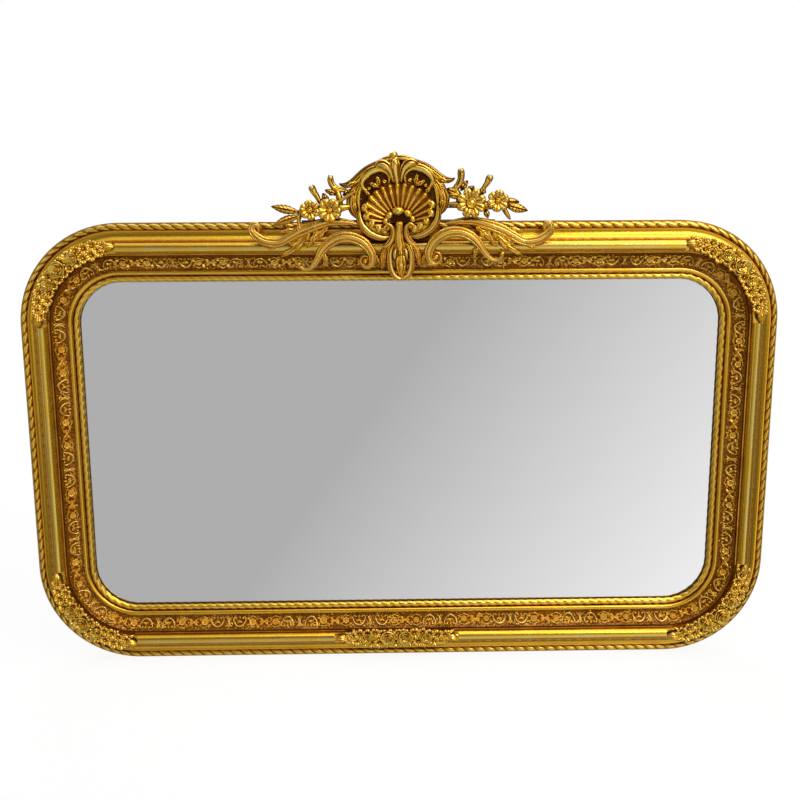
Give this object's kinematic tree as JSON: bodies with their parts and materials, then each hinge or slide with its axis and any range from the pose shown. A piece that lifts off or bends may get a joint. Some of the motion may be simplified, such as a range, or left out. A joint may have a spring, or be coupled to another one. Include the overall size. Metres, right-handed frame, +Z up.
{
  "type": "overmantel mirror",
  "caption": "Wide gilt overmantel mirror with rounded corners, rope edges, a carved frieze, corner flower sprays and a pierced shell cresting; hangs on swinging rings.",
  "frame": {"origin": "mid-width of the frame, on the plane of its back, level with its underside", "axes": "+X to the right as seen from the front, +Z up, +Y out of the back towards the wall; the mirror faces -Y"},
  "size_m": [1.2, 0.0685, 0.8254],
  "materials": {
    "gilt_wood": "gilded and burnished, toned with brown in the hollows",
    "gilt_composition": "hard cast composition, gilded, toned with brown in the hollows",
    "toned_composition": "hard cast composition, dark stippled ground with rubbed gilt ornament",
    "mirror_glass": "silvered float glass",
    "backing_board": "plain hardboard",
    "bare_wood": "bare softwood",
    "steel": "zinc-plated steel",
    "hanger_metal": "nickel-plated steel"
  },
  "bodies": {
    "frame": {"top_rail": "gilt_wood", "bottom_rail": "gilt_wood", "left_stile": "gilt_wood", "right_stile": "gilt_wood", "corner_top_left": "gilt_wood", "corner_top_right": "gilt_wood", "corner_bottom_left": "gilt_wood", "corner_bottom_right": "gilt_wood", "joint_dowels": "bare_wood", "outer_rope": "gilt_composition", "sight_rope": "gilt_composition", "frieze_ornament": "toned_composition", "corner_spray_top_left": "gilt_composition", "corner_spray_top_right": "gilt_composition", "corner_spray_bottom_left": "gilt_composition", "corner_spray_bottom_right": "gilt_composition", "bottom_spray": "gilt_composition", "glass": "mirror_glass", "backboard": "backing_board", "glazing_points": "steel", "hanger_strap_left": "hanger_metal", "hanger_strap_right": "hanger_metal", "hanger_screws": "steel", "crest_batten": "bare_wood", "crest_block": "gilt_wood", "crest_screws": "steel", "armature_wires": "steel", "shell": "gilt_composition", "crown_leaf": "gilt_composition", "drop_leaf": "gilt_composition", "cartouche_scroll_left": "gilt_composition", "cartouche_scroll_right": "gilt_composition", "rail_scroll_left": "gilt_composition", "rail_scroll_right": "gilt_composition", "tail_leaf_left": "gilt_composition", "tail_leaf_right": "gilt_composition", "flower_spray_left": "gilt_composition", "flower_spray_right": "gilt_composition"},
    "ring_left": {"hanger_ring_left": "hanger_metal"},
    "ring_right": {"hanger_ring_right": "hanger_metal"}
  },
  "joints": [
    {"name": "ring_left_swing", "type": "hinge", "parent": "frame", "child": "ring_left", "pos_m": [-0.568, 0.003, 0.52], "axis": [1, 0, 0], "range_deg": [0, 175]},
    {"name": "ring_right_swing", "type": "hinge", "parent": "frame", "child": "ring_right", "pos_m": [0.568, 0.003, 0.52], "axis": [1, 0, 0], "range_deg": [0, 175]}
  ]
}
